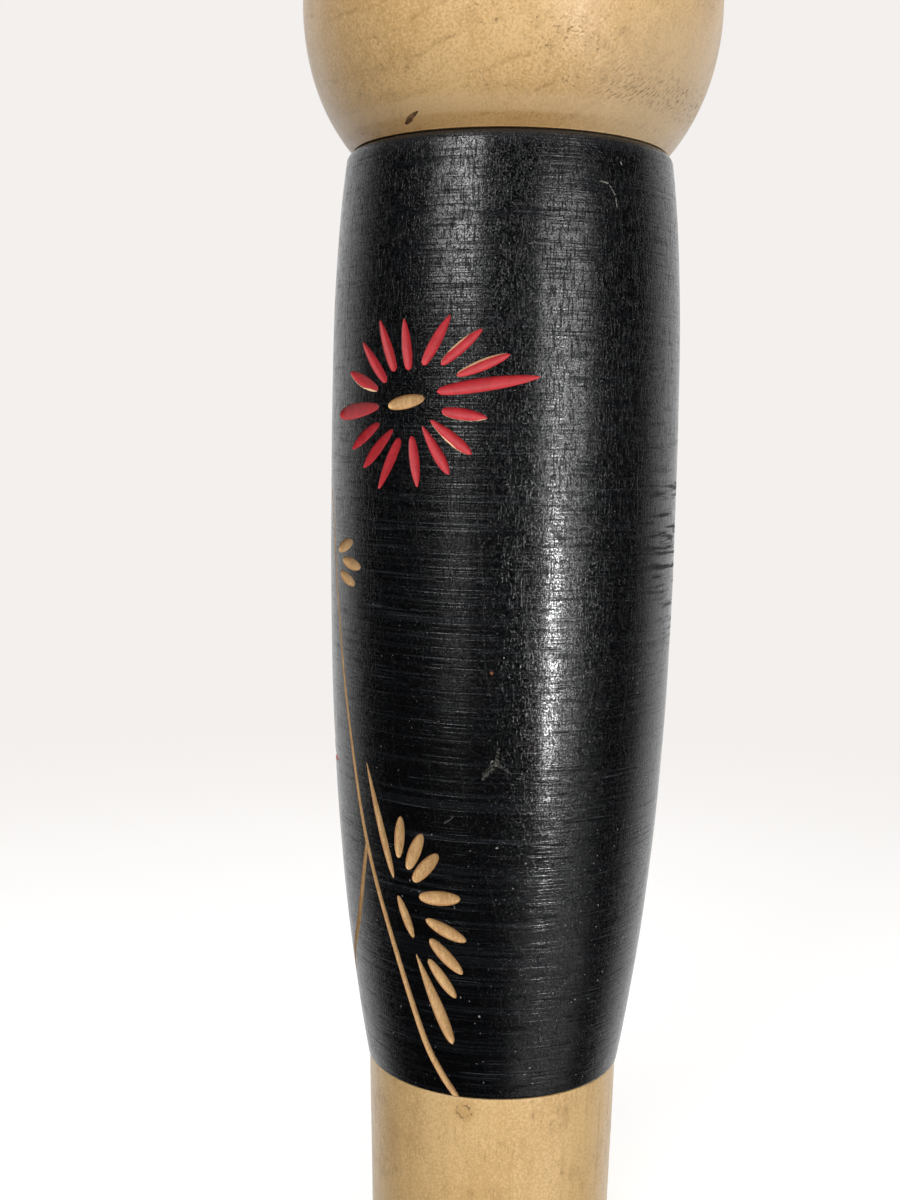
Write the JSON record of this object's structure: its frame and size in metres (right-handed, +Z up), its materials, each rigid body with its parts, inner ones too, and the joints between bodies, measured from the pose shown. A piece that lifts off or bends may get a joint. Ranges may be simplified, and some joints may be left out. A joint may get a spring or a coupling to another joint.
{
  "type": "kokeshi doll",
  "caption": "Turned wooden doll: pale round head that turns on a neck peg, black dyed barrel body with gouge-cut flowers and stems, and a pale pedestal foot.",
  "frame": {"origin": "centre of the pedestal's flat underside", "axes": "+Z up along the turning axis, -Y out of the doll's face, +X to the doll's left"},
  "size_m": [0.102, 0.102, 0.3636],
  "materials": {
    "varnished_wood": "clear varnish over pale close-grained wood, semi-gloss, lightly worn",
    "black_dyed_wood": "black dye and wax over fine lathe lines, semi-gloss; the gouge cuts are bare wood or painted matte red",
    "raw_wood": "bare cut wood, matte"
  },
  "bodies": {
    "doll_body": {"base": "varnished_wood", "foot_peg": "raw_wood", "barrel": "black_dyed_wood"},
    "doll_head": {"head": "varnished_wood", "neck_peg": "raw_wood"}
  },
  "joints": [
    {"name": "head_turn", "type": "hinge", "parent": "doll_body", "child": "doll_head", "pos_m": [0, 0, 0.27845], "axis": [0, 0, 1], "continuous": true}
  ]
}
